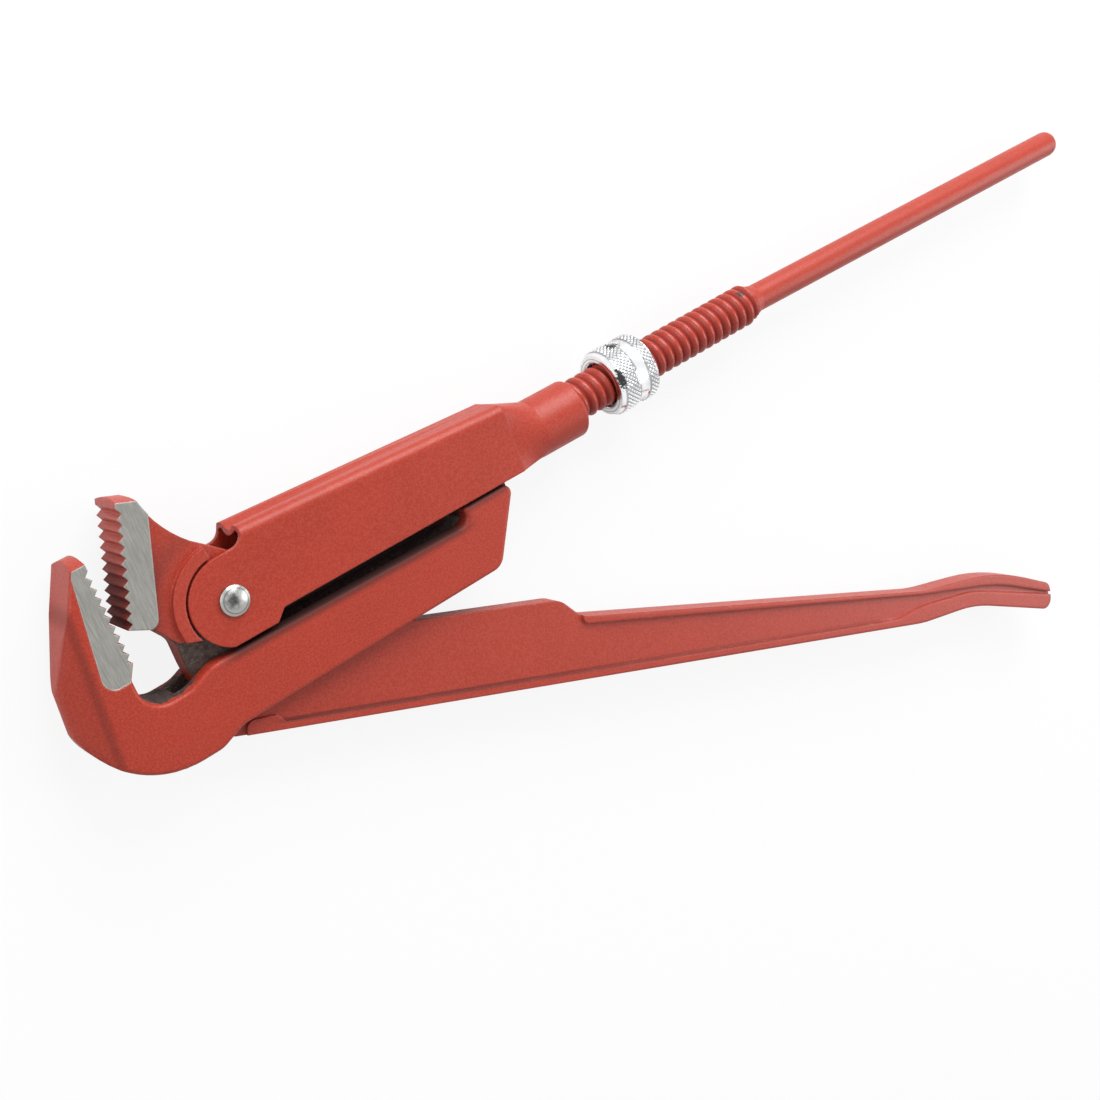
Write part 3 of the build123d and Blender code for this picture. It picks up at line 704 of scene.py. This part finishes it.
def blot(nodes, coordinates, centre, radii, ragged):
    """Mask of a ragged patch about a point from the nut's front, with a radius along each axis."""
    middle = Vector((NUT_LOW.x, SPINDLE_Y, SPINDLE_Z)) + centre * MM
    share = nodes.vector("DIVIDE", nodes.vector("SUBTRACT", coordinates, middle), radii * MM)
    return nodes.ramp(nodes.plus(nodes.vector("LENGTH", share), ragged), (0.75, 1.05), (1.0, 0.0))


def plated_steel():
    """Bright plating with painted shade in the knurl's grooves, turning rings on the front and two smudges.
    """
    material, nodes, shader = new_material("nut_plating")
    coordinates, place = nodes.place()
    sizes = settings().nut
    depth = sizes.knurl_depth / MM
    floor = sizes.diameter / 2 / MM - depth
    reach = nodes.reach(place["Y"], place["Z"])
    groove = nodes.inside(reach, (floor - 0.1, floor + 0.3 * depth), soft=0.12)
    wave = nodes.math("SINE", nodes.product(reach, 2 * math.pi / RING_PITCH))
    on_face = nodes.ramp(reach, (floor - 1.2, floor - 0.5), (1.0, 0.0))
    rings = nodes.product(nodes.ramp(wave, (0.2, 0.9)), on_face)
    ragged = nodes.noise(coordinates, scale=1300.0, detail=3.0)
    ragged = nodes.product(nodes.minus(ragged, 0.5), 2.4)
    spots = nodes.largest(
        blot(nodes, coordinates, BAND_BLOT, BAND_BLOT_RADII, ragged),
        blot(nodes, coordinates, RIM_BLOT, RIM_BLOT_RADII, ragged))
    cloud = nodes.noise(coordinates, scale=150.0, detail=3.0, roughness=0.6)
    plating = settings().colours.plating
    black = tinted(plating, 0.06)
    tone = nodes.mix(nodes.ramp(cloud, (0.45, 0.75)), plating, tinted(plating, 0.76))
    # The grooves' dark tone is painted shade; the rings and smudges are marks on the plating.
    for mask in (nodes.product(groove, GROOVE_SHADE), nodes.product(rings, RING_SHADE), spots):
        tone = nodes.mix(mask, tone, black)
    edge = nodes.group(rounded_edge_group(), radius=0.08 * MM)
    nodes.link(tone, shader["Base Color"])
    nodes.link(nodes.ramp(cloud, (0.3, 0.8), (0.1, 0.25)), shader["Roughness"])
    normal = nodes.bump(rings, strength=0.3, distance=0.05 * MM, normal=edge["Normal"])
    nodes.link(normal, shader["Normal"])
    shader["Metallic"].default_value = 1.0
    return material


def rivet_steel():
    """Bare rivet steel: hammered crown with a painted dark reflection on it, and a thin ring of painted shade
    near the rim.
    """
    material, nodes, shader = new_material("rivet_bare_steel")
    coordinates, place = nodes.place()
    dents = nodes.noise(coordinates, scale=420.0, detail=3.0, roughness=0.55)
    blotch = nodes.noise(coordinates, scale=800.0, detail=3.0, roughness=0.6)
    rise = nodes.minus(place["Y"], PIVOT_RISE)
    # A thin ring of painted shade near the rim, and a painted dark reflection on the crown.
    ring = nodes.inside(nodes.reach(place["X"], rise), RIVET_RING, soft=0.15)
    crown_reach = nodes.reach(nodes.minus(place["X"], CROWN_X), nodes.minus(rise, CROWN_RISE))
    crown_reach = nodes.plus(crown_reach, nodes.product(nodes.minus(blotch, 0.5), 4.0))
    crown = nodes.ramp(crown_reach, (0.2, 3.0), (0.9, 0.0))
    steel = settings().colours.rivet
    tone = nodes.mix(nodes.largest(crown, nodes.product(ring, RIVET_RING_SHADE)), steel, tinted(steel, 0.12))
    edge = nodes.group(rounded_edge_group(), radius=0.3 * MM)
    nodes.link(tone, shader["Base Color"])
    nodes.link(nodes.ramp(blotch, (0.3, 0.8), (0.24, 0.42)), shader["Roughness"])
    normal = nodes.bump(dents, strength=0.3, distance=0.35 * MM, normal=edge["Normal"])
    nodes.link(normal, shader["Normal"])
    shader["Metallic"].default_value = 1.0
    return material


def dress(node_name, material):
    """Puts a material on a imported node."""
    slots = NODES[node_name].data.materials
    slots.clear()
    slots.append(material)


def clear_selection():
    """Nothing selected, in object mode."""
    if bpy.context.object and bpy.context.object.mode != "OBJECT":
        bpy.ops.object.mode_set(mode="OBJECT")
    bpy.ops.object.select_all(action="DESELECT")


def start_piece(name, rotated=False):
    """Names the new object, puts its place into its mesh, and leaves it in edit mode, all selected."""
    piece = bpy.context.object
    piece.name = name
    piece.data.name = name
    bpy.ops.object.transform_apply(location=True, rotation=rotated, scale=rotated)
    bpy.ops.object.mode_set(mode="EDIT")
    bpy.ops.mesh.select_all(action="SELECT")
    return piece


def draw_section(section):
    """Extrudes the selected ring along a section of (place along the spindle, radius) points."""
    last_x, last_radius = section[0]
    for place_x, radius in section[1:]:
        bpy.ops.mesh.extrude_region_move(TRANSFORM_OT_translate={"value": (place_x - last_x, 0, 0)})
        ratio = radius / last_radius
        bpy.ops.transform.resize(value=(1, ratio, ratio), center_override=(place_x, SPINDLE_Y, SPINDLE_Z))
        last_x, last_radius = place_x, radius


def close_mesh():
    """Merges doubles and turns all faces outwards, then leaves edit mode."""
    bpy.ops.mesh.select_all(action="SELECT")
    bpy.ops.mesh.remove_doubles(threshold=WELD_MISS)
    bpy.ops.mesh.normals_make_consistent(inside=False)
    bpy.ops.object.mode_set(mode="OBJECT")


class WRENCH_OT_hook_leg(bpy.types.Operator):
    """Paints the hook leg and bares the ground sides of its jaw"""

    bl_idname = "wrench.hook_leg"
    bl_label = "Finish hook leg"

    def execute(self, context):
        dress("hook_leg", red_paint("hook_red", hook_bare_and_shade, radius=back_radius, sheen=0.34))
        return {"FINISHED"}


class WRENCH_OT_moving_leg(bpy.types.Operator):
    """Paints the moving leg and bares the ground sides of its jaw"""

    bl_idname = "wrench.moving_leg"
    bl_label = "Finish moving leg"

    def execute(self, context):
        dress("moving_leg", red_paint("leg_red", leg_bare_and_shade, radius=leg_radius))
        return {"FINISHED"}


class WRENCH_OT_sleeve(bpy.types.Operator):
    """Paints the sleeve"""

    bl_idname = "wrench.sleeve"
    bl_label = "Finish sleeve"

    def execute(self, context):
        dress("sleeve", red_paint("sleeve_red", sheen=0.34))
        return {"FINISHED"}


class WRENCH_OT_pivot_rivet(bpy.types.Operator):
    """Gives the pivot rivet its bare steel"""

    bl_idname = "wrench.pivot_rivet"
    bl_label = "Finish pivot rivet"

    def execute(self, context):
        dress("pivot_rivet", rivet_steel())
        return {"FINISHED"}


class WRENCH_OT_spindle_thread(bpy.types.Operator):
    """Winds the coarse rounded thread round the spindle"""

    bl_idname = "wrench.spindle_thread"
    bl_label = "Make spindle thread"

    def execute(self, context):
        sizes = settings().thread
        start = PIVOT.x + sizes.start
        stop = start + sizes.length
        piece = self.draw_pitch(start - sizes.pitch, sizes)
        screw = piece.modifiers.new("thread", "SCREW")
        screw.axis = "X"
        screw.screw_offset = sizes.pitch
        screw.iterations = math.ceil(sizes.length / sizes.pitch) + 2
        screw.steps = sizes.steps
        screw.render_steps = sizes.steps
        screw.use_merge_vertices = False
        bpy.ops.object.modifier_apply(modifier="thread")
        bpy.ops.object.mode_set(mode="EDIT")
        bpy.ops.mesh.select_all(action="SELECT")
        bpy.ops.mesh.remove_doubles(threshold=SEAM_MISS)
        for cut, at_stop in ((start, False), (stop, True)):
            bpy.ops.mesh.select_all(action="SELECT")
            bpy.ops.mesh.bisect(
                plane_co=(cut, 0, 0), plane_no=(1, 0, 0), use_fill=True,
                clear_inner=not at_stop, clear_outer=at_stop)
        self.fade_end(piece, stop, sizes)
        bpy.ops.mesh.select_all(action="SELECT")
        bpy.ops.transform.translate(value=(0, SPINDLE_Y, SPINDLE_Z))
        close_mesh()
        bpy.ops.object.shade_smooth_by_angle(angle=THREAD_SMOOTH)
        piece.data.materials.append(red_paint("thread_red", thread_shade_and_stake, radius=0.12 * MM))
        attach(piece, "hook_leg")
        return {"FINISHED"}

    def draw_pitch(self, low, sizes):
        """One pitch of the thread's section, drawn point by point above the axis."""
        clear_selection()
        rise = (sizes.crest - sizes.root) / 2
        bpy.ops.mesh.primitive_plane_add(size=sizes.pitch, location=(low, 0, sizes.root / 2))
        piece = start_piece("spindle_thread")
        bpy.ops.mesh.merge(type="CENTER")
        last_height = 0.0
        for point in range(1, sizes.points + 1):
            wave = 0.5 - 0.5 * math.cos(2 * math.pi * point / sizes.points)
            height = rise * min(1.0, CREST_GAIN * wave ** CREST_POWER)
            bpy.ops.mesh.extrude_region_move(
                TRANSFORM_OT_translate={"value": (sizes.pitch / sizes.points, 0, height - last_height)})
            last_height = height
        bpy.ops.object.mode_set(mode="OBJECT")
        return piece

    def fade_end(self, piece, stop, sizes):
        """Draws the thread's end in, so that it runs out into the plain rod."""
        bpy.ops.mesh.select_all(action="DESELECT")
        bpy.ops.object.mode_set(mode="OBJECT")
        for vertex in piece.data.vertices:
            vertex.select = vertex.co.x > stop - SEAM_MISS
        bpy.ops.object.mode_set(mode="EDIT")
        ratio = sizes.root / sizes.crest
        bpy.ops.transform.resize(
            value=(1, ratio, ratio), center_override=(stop, 0, 0), use_proportional_edit=True,
            proportional_edit_falloff="SMOOTH", proportional_size=FADE_SHARE * sizes.pitch)


class WRENCH_OT_adjusting_nut(bpy.types.Operator):
    """Turns the nut with its two knurled bands and smooth waist"""

    bl_idname = "wrench.adjusting_nut"
    bl_label = "Make adjusting nut"

    def execute(self, context):
        sizes = settings().nut
        count = 2 * sizes.knurl_count
        floor = sizes.diameter / 2 - sizes.knurl_depth
        front = NUT_LOW.x
        rear = front + sizes.length
        bands = ((front + FRONT_BAND, FRONT_ROWS), (rear - REAR_BAND, REAR_ROWS))
        section = self.section(front, rear, bands, floor, sizes)
        start_x, start_radius = section[0]
        clear_selection()
        bpy.ops.mesh.primitive_circle_add(
            vertices=count, radius=start_radius, fill_type="NOTHING",
            location=(start_x, SPINDLE_Y, SPINDLE_Z), rotation=(0, math.pi / 2, 0))
        piece = start_piece("knurled_nut", rotated=True)
        draw_section(section)
        self.close_bore(piece.data, count)
        self.raise_points(piece.data, bands, count, floor, sizes)
        bpy.ops.mesh.select_all(action="SELECT")
        bpy.ops.mesh.quads_convert_to_tris(quad_method="SHORTEST_DIAGONAL")
        close_mesh()
        bpy.ops.object.shade_smooth_by_angle(angle=NUT_SMOOTH)
        piece.data.materials.append(plated_steel())
        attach(piece, "adjusting_nut")
        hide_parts("adjusting_nut")
        return {"FINISHED"}

    def section(self, front, rear, bands, floor, sizes):
        """Points of the section from the bore round the front, over both bands and back to the bore."""
        bore = sizes.bore / 2
        waist = floor - WAIST_DEPTH
        front_band, rear_band = (
            [(first_row + index * KNURL_ROW, floor) for index in range(rows + 1)]
            for first_row, rows in bands)
        rear_row = bands[1][0]
        return [
            (front + 3.0 * MM, bore),
            (front + 2.6 * MM, bore + 0.45 * MM),
            (front + 0.4 * MM, bore + 0.55 * MM),
            (front, bore + 0.9 * MM),
            (front, floor - 1.1 * MM),
            (front + 0.2 * MM, floor - 0.7 * MM),
            (front + 1.5 * MM, floor - 0.15 * MM),
            *front_band,
            (rear_row - WAIST_START, waist),
            (rear_row - WAIST_END, waist),
            *rear_band,
            (rear - 0.2 * MM, floor - 0.15 * MM),
            (rear, floor - 0.5 * MM),
            (rear, bore + 0.5 * MM),
            (rear - 0.5 * MM, bore),
        ]

    def close_bore(self, mesh, count):
        """Bridges the first and the last ring of the section, which makes the bore."""
        bpy.ops.mesh.select_all(action="DESELECT")
        bpy.ops.object.mode_set(mode="OBJECT")
        last_ring = len(mesh.vertices) - count
        for edge in mesh.edges:
            first, second = edge.vertices
            edge.select = (first < count and second < count) or (first >= last_ring and second >= last_ring)
        bpy.ops.object.mode_set(mode="EDIT")
        bpy.ops.mesh.select_mode(type="EDGE")
        bpy.ops.mesh.bridge_edge_loops()
        bpy.ops.mesh.select_mode(type="VERT")

    def raise_points(self, mesh, bands, count, floor, sizes):
        """Raises every other vertex of the bands' inner rows, in turn, into the knurl's points."""
        bpy.ops.mesh.select_all(action="DESELECT")
        bpy.ops.object.mode_set(mode="OBJECT")
        for vertex in mesh.vertices:
            across, upward = vertex.co.y - SPINDLE_Y, vertex.co.z - SPINDLE_Z
            on_floor = abs(math.hypot(across, upward) - floor) < KNURL_MISS
            for first_row, rows in bands:
                level = round((vertex.co.x - first_row) / KNURL_ROW)
                on_row = abs(vertex.co.x - first_row - level * KNURL_ROW) < SEAM_MISS
                if on_floor and on_row and 0 < level < rows:
                    step = round(math.atan2(across, upward) / (2 * math.pi) * count)
                    vertex.select = (step + level) % 2 == 1
        bpy.ops.object.mode_set(mode="EDIT")
        ratio = sizes.diameter / 2 / floor
        bpy.ops.transform.resize(value=(1, ratio, ratio), center_override=(0, SPINDLE_Y, SPINDLE_Z))


class WRENCH_OT_stage(bpy.types.Operator):
    """Sets up the floor, the light and the camera"""

    bl_idname = "wrench.stage"
    bl_label = "Set up stage"

    def execute(self, context):
        stage = settings().stage
        self.lay_floor()
        self.hang_lamps(stage)
        self.light_sky(context, stage)
        self.place_camera(context, stage)
        context.scene.view_settings.view_transform = "Standard"
        return {"FINISHED"}

    def lay_floor(self):
        """White floor that shows the part's soft shadow, dark where it lies below the sleeve's gap."""
        clear_selection()
        bpy.ops.mesh.primitive_plane_add(size=FLOOR_SIZE, location=(0, 0, -FLOOR_DROP))
        floor = bpy.context.object
        floor.name = "floor"
        material = bpy.data.materials.new("floor_white")
        nodes = bare_tree(material)
        diffuse = nodes.add("ShaderNodeBsdfDiffuse")
        diffuse.inputs["Color"].default_value = FLOOR_WHITE
        glow = nodes.add("ShaderNodeEmission")
        glow.inputs["Strength"].default_value = 1.0
        place = nodes.place()[1]
        strip = nodes.product(
            nodes.inside(place["X"], STRIP_X, soft=3), nodes.inside(place["Y"], STRIP_Y, soft=3))
        mixed = nodes.add("ShaderNodeMixShader")
        share = nodes.ramp(strip, (0.0, 1.0), (FLOOR_GLOW, 0.0))
        nodes.link(nodes.product(nodes.seen(FLOOR_GLOSS), share), mixed.inputs[0])
        nodes.link(diffuse.outputs[0], mixed.inputs[1])
        nodes.link(glow.outputs[0], mixed.inputs[2])
        nodes.link(mixed.outputs[0], nodes.add("ShaderNodeOutputMaterial").inputs["Surface"])
        floor.data.materials.append(material)

    def hang_lamps(self, stage):
        """A large soft lamp beyond the sleeve, one on the hook's side and a small one beyond the grips."""
        lamps = (
            ("key_lamp", (0.40, 0.98, 0.60), 1.0, stage.key_power),
            ("hook_lamp", (-0.85, 0.55, 0.40), 0.8, stage.hook_power),
            ("grip_lamp", (0.72, -0.2, 0.52), 0.6, stage.grip_power),
        )
        for name, place, size, power in lamps:
            clear_selection()
            bpy.ops.object.light_add(type="AREA", location=place)
            lamp = bpy.context.object
            lamp.name = name
            lamp.data.shape = "DISK"
            lamp.data.size = size
            lamp.data.energy = power
            lamp.rotation_euler = (LAMP_AIM - lamp.location).to_track_quat("-Z", "Y").to_euler()

    def light_sky(self, context, stage):
        """Even white light all round, seen as white by the camera and in the metal."""
        world = bpy.data.worlds.new("studio")
        context.scene.world = world
        nodes = bare_tree(world)
        background = nodes.add("ShaderNodeBackground")
        background.inputs["Color"].default_value = (1, 1, 1, 1)
        strength = nodes.mix(nodes.seen(1.0), stage.sky_strength, 1.0, "FLOAT")
        nodes.link(strength, background.inputs["Strength"])
        nodes.link(background.outputs[0], nodes.add("ShaderNodeOutputWorld").inputs["Surface"])

    def place_camera(self, context, stage):
        """Camera above the hook, looking down along the legs."""
        clear_selection()
        bpy.ops.object.camera_add()
        camera = context.object
        camera.name = "photo_camera"
        camera.data.sensor_width = SENSOR_WIDTH
        camera.data.lens = stage.lens
        camera.data.clip_start = CLIP_START
        ahead = CAMERA_AHEAD.normalized()
        across = ahead.cross(CAMERA_UPWARD).normalized()
        upward = across.cross(ahead)
        turn = Matrix((across, upward, -ahead)).transposed().to_4x4()
        camera.matrix_world = Matrix.Translation(ORIGIN + CAMERA_STAND) @ turn
        context.scene.camera = camera


class WRENCH_PT_panel(bpy.types.Panel):
    """Lists the wrench's pieces and settings"""

    bl_idname = "WRENCH_PT_panel"
    bl_label = "Pipe wrench"
    bl_space_type = "VIEW_3D"
    bl_region_type = "UI"
    bl_category = "Wrench"

    def draw(self, context):
        layout = self.layout
        wrench = context.scene.wrench
        for group in (wrench.thread, wrench.nut, wrench.colours, wrench.stage):
            box = layout.box()
            for key in group.bl_rna.properties.keys():
                if key not in ("rna_type", "name"):
                    box.prop(group, key)
        for operator in OPERATORS:
            layout.operator(operator.bl_idname)


GROUPS = (SpindleThreadSizes, NutSizes, FinishColours, StageSettings, WrenchSettings)
OPERATORS = (
    WRENCH_OT_hook_leg,
    WRENCH_OT_moving_leg,
    WRENCH_OT_sleeve,
    WRENCH_OT_pivot_rivet,
    WRENCH_OT_spindle_thread,
    WRENCH_OT_adjusting_nut,
    WRENCH_OT_stage,
)
CLASSES = GROUPS + OPERATORS + (WRENCH_PT_panel,)


def register():
    """Adds the settings, operators and panel."""
    for each in CLASSES:
        bpy.utils.register_class(each)
    bpy.types.Scene.wrench = PointerProperty(name="Wrench", description="Pipe wrench", type=WrenchSettings)


def unregister():
    """Takes them away again."""
    del bpy.types.Scene.wrench
    for each in reversed(CLASSES):
        bpy.utils.unregister_class(each)


def main():
    """Makes the pieces in order."""
    register()
    bpy.ops.wrench.hook_leg()
    bpy.ops.wrench.moving_leg()
    bpy.ops.wrench.sleeve()
    bpy.ops.wrench.pivot_rivet()
    bpy.ops.wrench.spindle_thread()
    bpy.ops.wrench.adjusting_nut()
    bpy.ops.wrench.stage()
    clear_selection()


if __name__ == "__main__":
    main()
